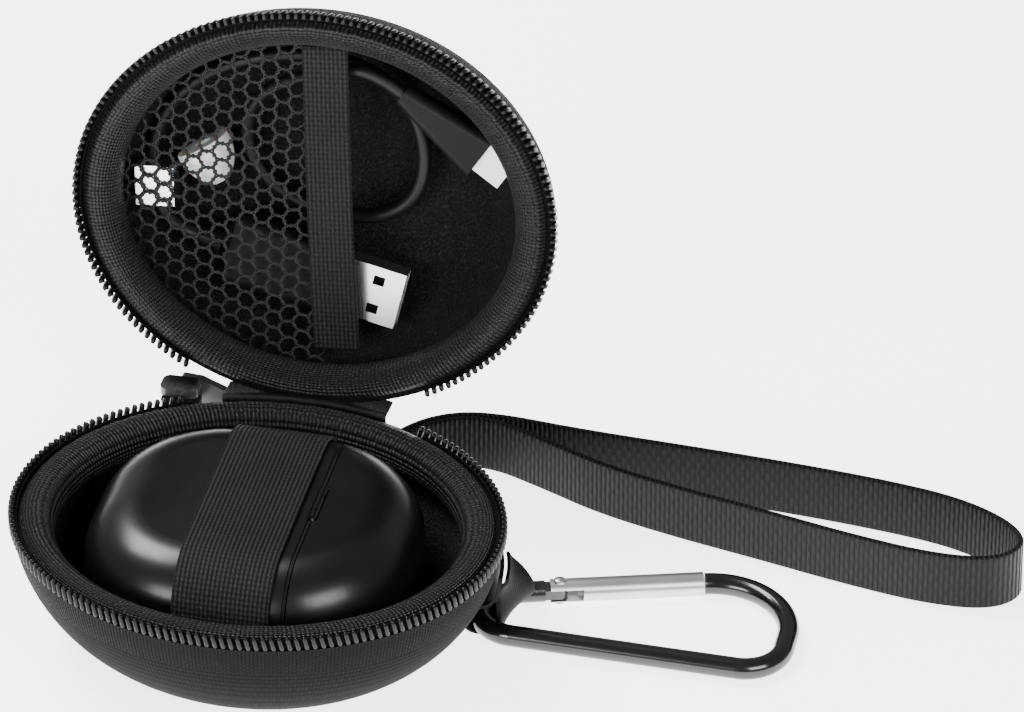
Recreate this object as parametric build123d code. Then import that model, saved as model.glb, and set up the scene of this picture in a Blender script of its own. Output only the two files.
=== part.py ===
"""Zip-up hard case for wireless earbuds, standing open with its contents and its carrying gear.

Millimetres, +Z up. The origin is the middle of the base's flat underside, X runs along the hinge towards
the wrist strap, and Y runs back towards the hinge. The lid stands open; its parts are drawn closed and
then swung about the hinge.
"""
import os
from math import acos, atan2, cos, degrees, hypot, radians, sin, sqrt, tan

from build123d import *

os.makedirs("parts", exist_ok=True)

# ---- driving dimensions ----
HALF_WIDTH = 50.0  # of the oval rim, at the zip teeth
OVAL = 0.84  # depth of the oval over its width
RIM_Z = 28.0  # plane where the two halves meet
SHELL = 3.2  # moulded foam wall with its outer skin
LINING = 1.0
TAPE = 0.8  # zip tape, let into the shell's outer face
WALL_CENTRE_R, WALL_CENTRE_Z, WALL_RADIUS = 16.3, 28.7, 33.2  # arc of the bowl's side
FOOT_ROUND = 5.0

SHELL_TOP = RIM_Z - 2.2
TAPE_FOOT = RIM_Z - 10.0
TEETH_FOOT = RIM_Z - 3.5
TEETH_TOP = RIM_Z - 0.15
TEETH_DEPTH = 1.4

HINGE_Y = HALF_WIDTH * OVAL - 2.5
HINGE_Z = RIM_Z + 0.75
OPEN_ANGLE = 103.5
HINGE_HALF = 18.0  # half length of the hinge fabric
ZIP_ENDS = (-25.0, 24.0)  # X where the two rows of teeth stop

CASE_LENGTH, CASE_WIDTH, CASE_THICK = 66.0, 59.0, 27.0  # charging case, lying on its back
CASE_X, CASE_FOOT = -0.6, SHELL + LINING + 0.3
CASE_CORNER, CASE_EDGE, CASE_WALL = 25.0, 11.5, 1.6
SEAM_X, SEAM_GAP = 12.4, 0.3
STRAP_WIDTH, STRAP_THICK, STRAP_X = 19.8, 1.4, -0.4

WEBBING_WIDTH, WEBBING_THICK = 12.5, 1.4
ROD_RADIUS = 2.2  # carabiner
GATE_RADIUS = 2.45
CORD = 3.0  # charging cable


def save(name, shape):
    """Write one node; a list of shapes becomes one compound of separate solids."""
    if isinstance(shape, (list, tuple, ShapeList)):
        shape = Compound(children=[s.solid() for s in shape])
    export_step(shape, f"parts/{name}.step")


# ---- round work: a profile turned about Z and pressed to the oval ----
def turned(profile):
    """Turn a face drawn in XZ about Z, then squeeze it to the oval."""
    return scale(revolve(profile, Axis.Z), by=(1, OVAL, 1)).solid()


def wall_r(inset, z):
    """Radius of the bowl's side at height z, a wall thickness of inset further in."""
    return WALL_CENTRE_R + sqrt((WALL_RADIUS - inset) ** 2 - (WALL_CENTRE_Z - z) ** 2)


def bowl(inset, top, extra=0.0):
    """The solid that fills the bowl up to a height, a wall thickness of inset further in; extra lowers its foot."""
    low = inset - extra
    foot, rim = (wall_r(inset, low), low), (wall_r(inset, top), top)
    middle_z = (low + top) / 2
    with BuildSketch(Plane.XZ) as profile:
        with BuildLine():
            Polyline((0, top), (0, low), foot)
            ThreePointArc(foot, (wall_r(inset, middle_z), middle_z), rim)
            Line(rim, (0, top))
        make_face()
        corner = profile.vertices().sort_by_distance((foot[0], 0, foot[1]))[0]
        fillet(corner, FOOT_ROUND)
    return turned(profile.sketch)


def band(low, high):
    """Everything between two heights, wider than the case."""
    side = 3 * HALF_WIDTH
    return Pos(0, 0, (low + high) / 2) * Box(side, side, high - low)


def closed_lid(shape):
    """The base's part mirrored over the rim plane, which is the lid's part when shut."""
    return mirror(shape, about=Plane((0, 0, RIM_Z), z_dir=(0, 0, 1)))


def opened(shape):
    """A part drawn with the lid shut, swung to where it stands open."""
    return shape.rotate(Axis((0, HINGE_Y, HINGE_Z), (-1, 0, 0)), OPEN_ANGLE)


def rim_roll():
    """Padded woven roll that covers the top of the wall and hangs inside it."""
    back = wall_r(SHELL + LINING, RIM_Z) - 0.3
    with BuildSketch(Plane.XZ) as profile:
        with BuildLine():
            Polyline((back, SHELL_TOP + 0.05), (48.1, SHELL_TOP + 0.05), (48.1, RIM_Z - 1.3))
            ThreePointArc((48.1, RIM_Z - 1.3), (44.6, RIM_Z - 0.6), (41.4, RIM_Z - 2.6))
            ThreePointArc((41.4, RIM_Z - 2.6), (40.4, RIM_Z - 5.8), (42.0, RIM_Z - 8.6))
            Polyline((42.0, RIM_Z - 8.6), (back - 0.5, RIM_Z - 8.6), (back, SHELL_TOP + 0.05))
        make_face()
    return turned(profile.sketch)


def teeth_ring():
    """The row of coil teeth, as the band it fills."""
    with BuildSketch(Plane.XZ) as profile:
        with Locations((HALF_WIDTH - TEETH_DEPTH / 2, (TEETH_FOOT + TEETH_TOP) / 2)):
            Rectangle(TEETH_DEPTH, TEETH_TOP - TEETH_FOOT)
    ring = turned(profile.sketch)
    left, right = ZIP_ENDS
    gap = Pos((left + right) / 2, HINGE_Y, RIM_Z) * Box(right - left, 16, 10)
    return (ring - gap).solid()


def hinge_leaf():
    """Half of the hinge fabric, on the outside of the tape behind the case."""
    outside = bowl(-0.55, RIM_Z) - bowl(-0.05, RIM_Z + 1)
    slot = Pos(0, HINGE_Y, RIM_Z - 7.6) * Box(2 * HINGE_HALF, 20, 4.8)
    return (outside & slot).solid()


NOTCH = Pos(0, HALF_WIDTH * OVAL, RIM_Z - 1.6) * Box(2 * HINGE_HALF + 8, 6.8, 3.2)
CAVITY = bowl(SHELL + LINING, RIM_Z)

shell = (bowl(0, TAPE_FOOT, 0.2) & band(0, TAPE_FOOT)) + (bowl(TAPE, SHELL_TOP) & band(TAPE_FOOT, SHELL_TOP))
shell = (shell - bowl(SHELL, SHELL_TOP + 1) - NOTCH).solid()
lining = (bowl(SHELL, SHELL_TOP) - bowl(SHELL + LINING, SHELL_TOP + 1)).solid()
roll = (rim_roll() - NOTCH - shell - lining).solid()
tape = ((bowl(0, TEETH_FOOT) - bowl(TAPE, TEETH_FOOT + 1)) & band(TAPE_FOOT, TEETH_FOOT)).solid()
teeth = teeth_ring()
leaf = hinge_leaf()

halves = {
    "shell": shell,
    "lining": lining,
    "rim_binding": roll,
    "zip_tape": tape,
    "zip_teeth": teeth,
    "hinge_fabric": leaf,
}
for part, solid in halves.items():
    save(f"base_{part}", solid)
    save(f"lid_{part}", opened(closed_lid(solid)))


# ---- charging case ----
def pebble(inset):
    """The charging case's rounded outline, a wall thickness of inset further in."""
    outline = RectangleRounded(CASE_LENGTH - 2 * inset, CASE_WIDTH - 2 * inset, CASE_CORNER - inset)
    block = extrude(outline, CASE_THICK - 2 * inset)
    rounded = fillet(block.edges().group_by(Axis.Z)[0] + block.edges().group_by(Axis.Z)[-1], CASE_EDGE - inset)
    return Pos(CASE_X, 0, CASE_FOOT + inset) * rounded


def slab(low, high):
    """Everything between two X planes, larger than the charging case."""
    return Pos((low + high) / 2, 0, CASE_MIDDLE) * Box(high - low, 80, 80)


CASE_MIDDLE = CASE_FOOT + CASE_THICK / 2
CASE_TOP = CASE_FOOT + CASE_THICK
CASE_END = CASE_X - CASE_LENGTH / 2
BODY_SIDE, LID_SIDE = SEAM_X - SEAM_GAP / 2, SEAM_X + SEAM_GAP / 2

KNUCKLE, PIN, KNUCKLE_HALF, HINGE_LENGTH = 0.8, 0.35, 2.4, 10.0
hinge_gap = Pos(SEAM_X, 0, CASE_TOP) * Box(2.0, HINGE_LENGTH + 0.6, 2.0)


def knuckle(middle, length, side):
    """One hinge barrel on the seam line with the web that joins it to its shell."""
    barrel = Pos(SEAM_X, middle, CASE_TOP) * Rot(90, 0, 0) * Cylinder(KNUCKLE, length)
    web = Pos(SEAM_X + side * 0.8, middle, CASE_TOP - 0.45) * Box(1.6, length, 0.6)
    bore = Pos(SEAM_X, middle, CASE_TOP) * Rot(90, 0, 0) * Cylinder(PIN + (0.04 if side > 0 else 0), length + 1)
    return barrel + web - bore


outer_length = (HINGE_LENGTH - 2 * KNUCKLE_HALF) / 2 - 0.2
outer_middle = KNUCKLE_HALF + 0.2 + outer_length / 2
socket_hole = Pos(CASE_END, 0, CASE_MIDDLE) * Box(12, 9.4, 3.6)
lens_hole = Pos(-14, -CASE_WIDTH / 2, CASE_MIDDLE) * Rot(90, 0, 0) * Cylinder(1.2, 8)
hollow = pebble(CASE_WALL)

TRIM = 0.7
case_body = (pebble(0) & slab(-60, BODY_SIDE - TRIM)) - hollow - hinge_gap - socket_hole - lens_hole
for y in (-outer_middle, outer_middle):
    case_body += knuckle(y, outer_length, -1)
trim = ((pebble(0.25) & slab(BODY_SIDE - TRIM, BODY_SIDE)) - hollow - hinge_gap).solid()
case_body -= trim
case_lid = (pebble(0) & slab(LID_SIDE, 60)) - hollow - hinge_gap
case_lid += knuckle(0, 2 * KNUCKLE_HALF, 1)

save("charging_case_body", case_body.solid())
save("charging_case_seam_trim", trim)
save("charging_case_lid", case_lid.solid())
save("charging_lid_pin", Pos(SEAM_X, 0, CASE_TOP) * Rot(90, 0, 0) * Cylinder(PIN, HINGE_LENGTH - 0.4))
save("status_lens", (lens_hole & (pebble(0) - hollow)).solid())
save("charging_socket", Pos(CASE_END + 4.4, 0, CASE_MIDDLE) * (Box(7.6, 9.2, 3.4) - Pos(-1, 0, 0) * Box(7.6, 8.4, 2.6)))

# earbuds stand in wells in the tray, with their heads under the lid
BUD_Y, HEAD_X, HEAD, STEM, STEM_END = 11.5, 14.0, 7.6, 3.2, -6.0


def earbud(y, grow):
    """Earbud body: a round head on a stem that points into the case."""
    head = Pos(HEAD_X, y, CASE_MIDDLE) * Sphere(HEAD + grow)
    length = HEAD_X - STEM_END + grow
    stem = Pos(HEAD_X - length / 2, y, CASE_MIDDLE) * Rot(0, 90, 0) * Cylinder(STEM + grow, length)
    return head + stem


def tip_place(y):
    """Where an earbud's nozzle leaves its head, tilted up and out."""
    return Pos(HEAD_X + 1.5, y, CASE_MIDDLE) * Rot(0, 50, 0)


tray = (pebble(CASE_WALL + 0.15) & slab(-8.6, BODY_SIDE - 0.1)) - Pos(SEAM_X, 0, CASE_TOP) * Box(3.4, 22, 4.4)
pins = []
for side, y in (("left", BUD_Y), ("right", -BUD_Y)):
    tray -= earbud(y, 0.25)
    nozzle = tip_place(y) * Pos(0, 0, 5.9) * Cylinder(2.1, 6.0)
    tip = tip_place(y) * Pos(0, 0, HEAD + 1.2) * (Cone(5.2, 3.4, 4.4) - Pos(0, 0, -1.4) * Cylinder(2.2, 3.2))
    body = earbud(y, 0) + nozzle - tip
    save(f"earbud_{side}", body.solid())
    save(f"earbud_{side}_tip", tip.solid())
    for dz in (-1.5, 1.5):
        pins.append(Pos(STEM_END - 1.3, y, CASE_MIDDLE + dz) * Rot(0, 90, 0) * Cylinder(0.6, 2.0))
for pin in pins:
    tray -= pin
save("earbud_tray", tray.solid())
save("charge_pins", pins)
save("case_battery", Pos(-18.0, 0, CASE_MIDDLE) * fillet(Box(9.0, 34.0, 15.0).edges().filter_by(Axis.Y), 3.0))
board = Pos(-10.9, 0, CASE_MIDDLE) * Box(1.2, 40.0, 17.0)
save("case_circuit_board", board)
magnet_y = (-24.2, 24.2)
save("case_magnets", [Pos(BODY_SIDE + 3, y, CASE_MIDDLE) * Rot(0, 90, 0) * Cylinder(1.8, 2.0) for y in magnet_y])

# ---- elastic strap over the charging case ----
REACH = CASE_WIDTH / 2 - CASE_EDGE
STRAP_END = (33.4, 13.4)


def over_case(gap):
    """Corner points of the path that lies a gap above the charging case: flat, round, straight to the wall."""
    radius = CASE_EDGE + gap
    across, down = STRAP_END[0] + gap - REACH, STRAP_END[1] - (CASE_TOP - CASE_EDGE)
    reach = hypot(across, down)
    leave = atan2(down, across) + acos(radius / reach)
    middle = (leave + radians(90)) / 2
    centre_z = CASE_TOP - CASE_EDGE
    on_arc = [(REACH + radius * cos(a), centre_z + radius * sin(a)) for a in (leave, middle, radians(90))]
    return (STRAP_END[0] + gap, STRAP_END[1]), *on_arc


inner, outer = over_case(0.35), over_case(0.35 + STRAP_THICK)
with BuildSketch(Plane.YZ) as side_view:
    with BuildLine():
        for end, leave, middle, crown in (inner, outer):
            for way in (1, -1):
                Line((way * end[0], end[1]), (way * leave[0], leave[1]))
                ThreePointArc(*[(way * p[0], p[1]) for p in (leave, middle, crown)])
            Line((crown[0], crown[1]), (-crown[0], crown[1]))
        for way in (1, -1):
            Line((way * inner[0][0], inner[0][1]), (way * outer[0][0], outer[0][1]))
    make_face()
strap = Pos(STRAP_X, 0, 0) * extrude(side_view.sketch, STRAP_WIDTH / 2, both=True)
outside_wall = bowl(0, RIM_Z - 6) - bowl(SHELL + LINING, RIM_Z)
save("base_elastic_strap", (strap - outside_wall).solid())

# ---- zip slider, parked at the closed end of the zip ----
SLIDER_X, SLIDER_Y, SLIDER_Z = -26.0, 40.2, RIM_Z - 2.9
PULL_PIVOT = (-24.4, RIM_Z - 3.2)
slider = Pos(SLIDER_X, SLIDER_Y, SLIDER_Z) * fillet(Box(8.0, 5.2, 5.2).edges().filter_by(Axis.Z), 1.6)
slider -= Pos(SLIDER_X, SLIDER_Y - 1.2, SLIDER_Z) * Box(9.0, 5.2, 1.7)
slider += Pos(PULL_PIVOT[0], 43.9, PULL_PIVOT[1]) * Rot(90, 0, 0) * Cylinder(0.8, 2.8)
slider += Pos(PULL_PIVOT[0], 45.45, PULL_PIVOT[1]) * Rot(90, 0, 0) * Cylinder(1.5, 0.7)
save("slider_body", slider.solid())
chain = Pos(SLIDER_X, 39.0, SLIDER_Z) * Box(6.4, 4.6, 1.5)
save("zip_chain_end", (chain - bowl(-0.05, RIM_Z)).solid())

with BuildSketch(Plane.XZ.offset(-43.2)) as pull_face:
    with BuildLine():
        Polyline((-27.0, RIM_Z - 0.6), (-22.5, RIM_Z - 0.9), (-11.6, RIM_Z - 5.5), (-12.8, RIM_Z - 9.4),
                 (-24.5, RIM_Z - 6.6), (-27.0, RIM_Z - 5.6), close=True)
    make_face()
    fillet(pull_face.vertices(), 1.0)
pull = extrude(pull_face.sketch, -1.6)
pull -= Pos(PULL_PIVOT[0], 44.0, PULL_PIVOT[1]) * Rot(90, 0, 0) * Cylinder(0.88, 8)
save("slider_pull", pull.solid())


# ---- pocket and its contents, drawn in the closed lid ----
def in_lid(across, out, deep):
    """A point of the closed lid: across along X, out from the hinge axis, deep into the lid."""
    return (across, HINGE_Y - out, HINGE_Z + deep)


def lid_frame(across, out, deep, turn, tilt=0.0):
    """A place in the closed lid, its X axis turned in the lid's plane from the hinge line."""
    return Location(in_lid(across, out, deep)) * Rot(0, 0, -turn) * Rot(0, tilt, 0)


LID_CAVITY = closed_lid(CAVITY)
POCKET_DEEP, POCKET_THICK = 8.6, 0.6
BAND_WIDTH, BAND_THICK, BAND_TURN = 9.6, 1.2, 95.3
band_place = lid_frame(1.6, 39.2, POCKET_DEEP - 0.9, BAND_TURN)
room = closed_lid(bowl(SHELL + LINING + 0.2, RIM_Z) - rim_roll())
pocket_band = band_place * Box(90, BAND_WIDTH, BAND_THICK) & room
half_plane = band_place * Pos(0, -50.0 - BAND_WIDTH / 2 - 0.1, 0.9) * Box(150, 100, POCKET_THICK)
save("pocket_band", opened(pocket_band.solid()))
save("mesh_pocket", opened((half_plane & room).solid()))

PLUG_TURN = -11.5
PLUG_TIP, PLUG_DEEP = (15.95, 17.8), 15.0
plug = lid_frame(*PLUG_TIP, PLUG_DEEP, PLUG_TURN)
METAL, METAL_LENGTH, SLEEVE = 12.3, 18.0, 26.0
tube = Pos(-METAL_LENGTH / 2, 0, 0) * (Box(METAL_LENGTH, 12.0, 4.5) - Box(METAL_LENGTH + 1, 11.4, 3.9))
for y in (-3.1, 3.1):
    tube -= Pos(-5.2, y, 0) * Box(2.4, 2.0, 10)
tongue = Pos(-METAL_LENGTH / 2 - 0.6, 0, 0.9) * Box(METAL_LENGTH - 1.2, 11.2, 1.9)
grip = Pos(-METAL - SLEEVE / 2, 0, 0) * fillet(Box(SLEEVE, 15.6, 7.8).edges().filter_by(Axis.X), 2.4)
grip = chamfer(grip.edges().group_by(Axis.X)[0], 2.0) - Box(2 * METAL_LENGTH, 12.0, 4.5)
boot = Pos(-METAL - SLEEVE - 2.5, 0, 0) * Rot(0, -90, 0) * Cone(2.9, 2.1, 5.0)
save("usb_plug_metal", opened(plug * tube))
save("usb_plug_tongue", opened(plug * tongue))
save("usb_plug_grip", opened(plug * (grip + boot).solid()))

TIP_AT, TIP_DEEP, TIP_TURN = (31.5, 51.6), 12.5, -33.0
small = lid_frame(*TIP_AT, TIP_DEEP, TIP_TURN)
wide = Plane.YZ * RectangleRounded(10.4, 6.2, 1.8)
narrow = Plane.YZ.offset(-20.0) * RectangleRounded(4.6, 4.2, 1.8)
small_metal = Pos(2.2, 0, 0) * (Box(8.4, 6.9, 1.9) - Box(10, 6.3, 1.3))
save("small_plug_grip", opened(small * (loft([narrow, wide]) - Pos(2.2, 0, 0) * Box(8.4, 6.9, 1.9)).solid()))
save("small_plug_metal", opened(small * small_metal))

# cable, by hand: across, out, deep; from the large plug round the lid twice to the small plug
CABLE = [
    (-26.5, 26.4, 15.0), (-32.4, 27.6, 15.1), (-36.2, 33.4, 15.3), (-37.5, 40.6, 15.3), (-36.2, 48.6, 15.3),
    (-32.4, 55.6, 15.2), (-26.2, 61.2, 15.2), (-18.2, 65.0, 15.5), (-9.2, 67.0, 16.0), (-0.2, 67.0, 16.8),
    (7.8, 64.4, 17.8), (14.2, 59.3, 18.3), (17.9, 52.4, 18.3), (18.8, 44.6, 18.3), (16.4, 37.6, 18.6),
    (10.3, 33.4, 19.2), (2.2, 32.6, 19.6), (-6.0, 34.0, 19.4), (-12.8, 37.6, 19.0), (-17.2, 43.2, 18.4),
    (-18.4, 49.8, 17.4), (-16.4, 56.2, 16.0), (-11.4, 60.8, 14.2), (-4.6, 64.0, 12.9), (2.6, 66.4, 12.3),
    (9.5, 65.9, 12.4), (14.7, 62.5, 12.5),
]


def rounded_route(points):
    """Straight runs joined by tangent arcs, each as large as its two runs allow; and the arcs' radii."""
    radii = []
    for before, corner, after in zip(points, points[1:], points[2:]):
        a, b = Vector(*corner) - Vector(*before), Vector(*after) - Vector(*corner)
        radii.append(0.45 * min(a.length, b.length) / tan(radians(a.get_angle(b)) / 2))
    return FilletPolyline(*points, radius=radii), radii


cable_path, cable_radii = rounded_route([in_lid(*p) for p in CABLE])
cable_line = cable_path.wire()
start = Plane(cable_line.position_at(0), z_dir=cable_line.tangent_at(0))
cable = sweep(start * Circle(CORD / 2), path=cable_line).solid()
save("cable_cord", opened(cable))
print("cable: length", round(cable_line.length, 1), "radii", [round(r) for r in cable_radii],
      "volume ratio", round(cable.volume / (cable_line.length * 3.14159 * (CORD / 2) ** 2), 3))

tip_frame = lid_frame(-26.9, 46.0, 15.0, 31.0)
dome = revolve(Plane.XZ * make_face(
    [Line((1.9, 0), (5.6, 0)), ThreePointArc((5.6, 0), (4.6, 5.4), (1.9, 8.6)), Line((1.9, 8.6), (1.9, 0))]), Axis.Z)
save("spare_ear_tip", opened(tip_frame * Rot(-90, 0, 0) * dome.solid()))
adapter = lid_frame(-35.0, 37.8, 11.35, 4.0)
sleeve = Box(8.0, 8.4, 4.4) - Pos(0, 1.2, 0) * Box(7.0, 8.4, 3.4)
save("adapter_sleeve", opened(adapter * sleeve.solid()))
save("adapter_insert", opened(adapter * Pos(0, 0.4, 0.6) * Box(6.2, 6.0, 1.4)))

# ---- carabiner, drawn flat and then tipped so that its narrow end lies on the webbing ----
NARROW_CENTRE, NARROW_RADIUS = (50.3, 10.7), 7.3
TOP_SLOPE = 18.0  # the gate's side against the spine's
SPINE_Y = NARROW_CENTRE[1] - NARROW_RADIUS
END_X = 104.2
WIDE_ROUND, SPINE_ROUND = 14.8, 8.0
GATE_START, GATE_END = 9.2, 38.2  # along the gate's side, from where the narrow end runs out
TIP_LIFT = 0.9
slope = Vector(cos(radians(TOP_SLOPE)), sin(radians(TOP_SLOPE)), 0)
outward = Vector(-slope.Y, slope.X, 0)
narrow_middle = Vector(*NARROW_CENTRE, 0)
top_start = narrow_middle + outward * NARROW_RADIUS
PIVOT = top_start + slope * GATE_START
top_corner = top_start + slope * ((END_X - top_start.X) / slope.X)
top_cut = WIDE_ROUND * tan(radians((90 + TOP_SLOPE) / 2))
nose = top_start + slope * (GATE_END + 0.25)
wide_in, wide_out = top_corner - slope * top_cut, top_corner - Vector(0, top_cut, 0)
wide_centre = wide_in - outward * WIDE_ROUND
spine_corner = Vector(END_X - SPINE_ROUND, SPINE_Y + SPINE_ROUND, 0)


def on_circle(centre, radius, angle):
    return centre + Vector(radius * cos(radians(angle)), radius * sin(radians(angle)), 0)


with BuildLine() as frame_line:
    Line(nose, wide_in)
    ThreePointArc(wide_in, on_circle(wide_centre, WIDE_ROUND, (90 + TOP_SLOPE) / 2), wide_out)
    Line(wide_out, on_circle(spine_corner, SPINE_ROUND, 0))
    ThreePointArc(*[on_circle(spine_corner, SPINE_ROUND, a) for a in (0, -45, -90)])
    Line(on_circle(spine_corner, SPINE_ROUND, -90), on_circle(narrow_middle, NARROW_RADIUS, -90))
    ThreePointArc(*[on_circle(narrow_middle, NARROW_RADIUS, a) for a in (-90, -171, 90 + TOP_SLOPE)])
    Line(top_start, PIVOT - slope * 3.0)
frame_wire = frame_line.wire()
frame_start = Plane(frame_wire.position_at(0), z_dir=frame_wire.tangent_at(0))
rod = sweep(frame_start * Circle(ROD_RADIUS), path=frame_wire).solid()
gate_line = Location(Plane(PIVOT, x_dir=slope, z_dir=(0, 0, 1)))
lug = gate_line * (Pos(-1.8, 0, 0) * Box(4.6, 3.4, 2.2) + Cylinder(1.7, 2.2))
rod = rod + lug - gate_line * Cylinder(0.9, 8)

gate_length = GATE_END - GATE_START
gate = Pos(gate_length / 2 - 0.95, 0, 0) * Rot(0, 90, 0) * Cylinder(GATE_RADIUS, gate_length + 1.9)
gate -= Pos(gate_length / 2 + 3.8, 0, 0) * Rot(0, 90, 0) * Cylinder(1.7, gate_length)
gate -= Box(9.4, 8, 2.6)
gate -= Cylinder(0.95, 8)


def tipped(shape):
    """Lift the narrow end by the webbing under it."""
    turn = degrees(atan2(TIP_LIFT, END_X - NARROW_CENTRE[0] + NARROW_RADIUS))
    lifted = Pos(0, 0, ROD_RADIUS) * shape
    return lifted.rotate(Axis((END_X, 0, 0), (0, 1, 0)), turn)


save("carabiner_frame", tipped(rod.solid()))
save("carabiner_gate", tipped((gate_line * gate).solid()))
save("gate_pin", tipped(gate_line * Cylinder(0.9, 5.4)))
save("gate_spring", tipped(gate_line * Pos(13, 0, 0) * Rot(0, 90, 0) * Cylinder(1.5, 12)))

# ---- webbing tab that holds the carabiner ----
TAB_WIDTH = 8.2
ROD_X = NARROW_CENTRE[0] - NARROW_RADIUS
with BuildSketch(Plane.XZ.offset(-NARROW_CENTRE[1])) as tab_side:
    with BuildLine():
        Polyline((39.4, 0.0), (48.6, 0.0), (48.6, 6.9), (49.3, 17.8), (44.0, 17.8), (41.0, 7.4), (39.4, 7.4), close=True)
    make_face()
    with Locations((43.95, 3.35)):
        RectangleRounded(7.6, 5.4, 0.8, mode=Mode.SUBTRACT)
tab = extrude(tab_side.sketch, TAB_WIDTH / 2, both=True) - bowl(0, RIM_Z)
save("carabiner_tab", tab.solid())

# ---- wrist strap: one length of webbing standing on edge, doubled back on itself ----
STRAP_LOOP = [(52.0, 63.0), (73.0, 62.0), (94.0, 60.8), (114.0, 59.0), (131.0, 56.2), (142.8, 50.4), (147.4, 43.6),
              (142.4, 37.0), (130.0, 35.9), (113.0, 38.8), (93.0, 43.6), (74.0, 47.8), (58.0, 52.4), (46.0, 58.0)]
STRAP_ROOT = [(13.0, 44.2), (15.4, 53.0), (22.0, 61.0), (32.0, 64.4)]


def beside(points, distance):
    """The same polyline, a distance to its left."""
    out = []
    for i, (x, y) in enumerate(points):
        ahead, behind = points[min(i + 1, len(points) - 1)], points[max(i - 1, 0)]
        length = hypot(ahead[0] - behind[0], ahead[1] - behind[1])
        out.append((x - distance * (ahead[1] - behind[1]) / length, y + distance * (ahead[0] - behind[0]) / length))
    return out


ply_gap = WEBBING_THICK / 2 + 0.08
strap_points = beside(STRAP_ROOT, ply_gap) + STRAP_LOOP + beside(STRAP_ROOT, -ply_gap)[::-1]
strap_path, strap_radii = rounded_route([(x, y, 0) for x, y in strap_points])
strap_wire = strap_path.wire()
strap_start = Plane(strap_wire.position_at(0), z_dir=strap_wire.tangent_at(0), x_dir=(0, 0, 1))
webbing = sweep(strap_start * Rectangle(WEBBING_WIDTH, WEBBING_THICK), path=strap_wire).solid()
save("wrist_strap", Pos(0, 0, WEBBING_WIDTH / 2) * webbing)
print("wrist strap: webbing", round(strap_wire.length, 1), "radii", [round(r) for r in strap_radii])

anchor = Pos(13.0, 38.4, 9.4) * fillet(Box(5.0, 8.4, 13.4).edges().filter_by(Axis.Z), 1.4)
save("strap_anchor", (anchor - bowl(0, RIM_Z)).solid())
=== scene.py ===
# %% [markdown]
# # An open zip-up case for wireless earbuds
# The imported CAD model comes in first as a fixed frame. Hard parts keep their CAD shape and get a
# real finish; cloth, zip teeth, netting and the cable are modelled here, because their look is all
# in small shapes.

# %% Load the frame and name the main places
from math import atan2, cos, hypot, pi, radians, sin, sqrt

import bmesh
import bpy
from mathutils import Matrix, Vector


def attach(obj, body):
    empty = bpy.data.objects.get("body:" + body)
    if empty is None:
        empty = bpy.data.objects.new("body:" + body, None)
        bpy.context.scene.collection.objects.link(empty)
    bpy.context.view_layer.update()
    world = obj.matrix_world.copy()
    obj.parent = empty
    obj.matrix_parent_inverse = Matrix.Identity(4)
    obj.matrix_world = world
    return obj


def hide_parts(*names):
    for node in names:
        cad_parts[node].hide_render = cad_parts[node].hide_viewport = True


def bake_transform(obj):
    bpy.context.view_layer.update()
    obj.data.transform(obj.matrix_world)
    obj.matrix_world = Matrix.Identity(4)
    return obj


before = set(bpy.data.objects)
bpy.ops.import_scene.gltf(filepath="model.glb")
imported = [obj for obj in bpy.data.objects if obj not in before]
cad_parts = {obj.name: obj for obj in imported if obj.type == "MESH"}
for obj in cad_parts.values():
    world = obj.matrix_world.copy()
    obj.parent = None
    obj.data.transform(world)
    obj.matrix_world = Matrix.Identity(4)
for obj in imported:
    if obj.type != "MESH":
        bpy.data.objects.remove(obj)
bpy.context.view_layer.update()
MM = 0.001
OVAL, RIM_Z = 0.84, 28 * MM  # depth over width, and height where the halves meet
HINGE = Vector((0, 39.5 * MM, 28.75 * MM))
OPEN_ANGLE = radians(103.5)
LID_OPEN = Matrix.Translation(HINGE) @ Matrix.Rotation(OPEN_ANGLE, 4, (-1, 0, 0)) @ Matrix.Translation(-HINGE)

# %% [markdown]
# ## Camera
# The case is seen from the front, a little from its right and from well above. A long lens keeps
# the ovals calm.

# %% Camera
TARGET = Vector((51.6 * MM, 0, 72.95 * MM))
azimuth, elevation, distance = radians(12.46), radians(34.54), 1.5
camera_data = bpy.data.cameras.new("camera")
camera_data.lens = 272.7
camera_data.sensor_width = 36
camera = bpy.data.objects.new("camera", camera_data)
back = Vector((sin(azimuth) * cos(elevation), -cos(azimuth) * cos(elevation), sin(elevation)))
camera.location = TARGET + back * distance
camera.rotation_euler = back.to_track_quat("Z", "Y").to_euler()
bpy.context.collection.objects.link(camera)
bpy.context.scene.camera = camera
print("camera", [round(v, 3) for v in camera.location])

# %% [markdown]
# ## Small tools for modelling
# Each tool does one thing that is done by hand in Blender: select, apply what is pending, turn
# faces outwards, place a shape, draw a smooth line, pull an edge along it.


# %% Selecting and applying
def pick(*objects):
    """Select only these objects, the first one active."""
    if bpy.context.object and bpy.context.object.mode != "OBJECT":
        bpy.ops.object.mode_set(mode="OBJECT")
    bpy.ops.object.select_all(action="DESELECT")
    for one in objects:
        one.select_set(True)
    bpy.context.view_layer.objects.active = objects[0] if objects else None


def apply_modifiers(piece):
    """Apply the modifiers in order and leave the piece at the origin."""
    pick(piece)
    for modifier in list(piece.modifiers):
        bpy.ops.object.modifier_apply(modifier=modifier.name)
    bpy.ops.object.transform_apply(location=True, rotation=True, scale=True)


def outward(piece, angle=40):
    """Merge doubles, turn every face outwards and smooth the soft edges."""
    pick(piece)
    bpy.ops.object.mode_set(mode="EDIT")
    bpy.ops.mesh.select_all(action="SELECT")
    bpy.ops.mesh.remove_doubles(threshold=0.000005)
    bpy.ops.mesh.normals_make_consistent(inside=False)
    bpy.ops.object.mode_set(mode="OBJECT")
    bpy.ops.object.shade_smooth_by_angle(angle=radians(angle))


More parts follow.
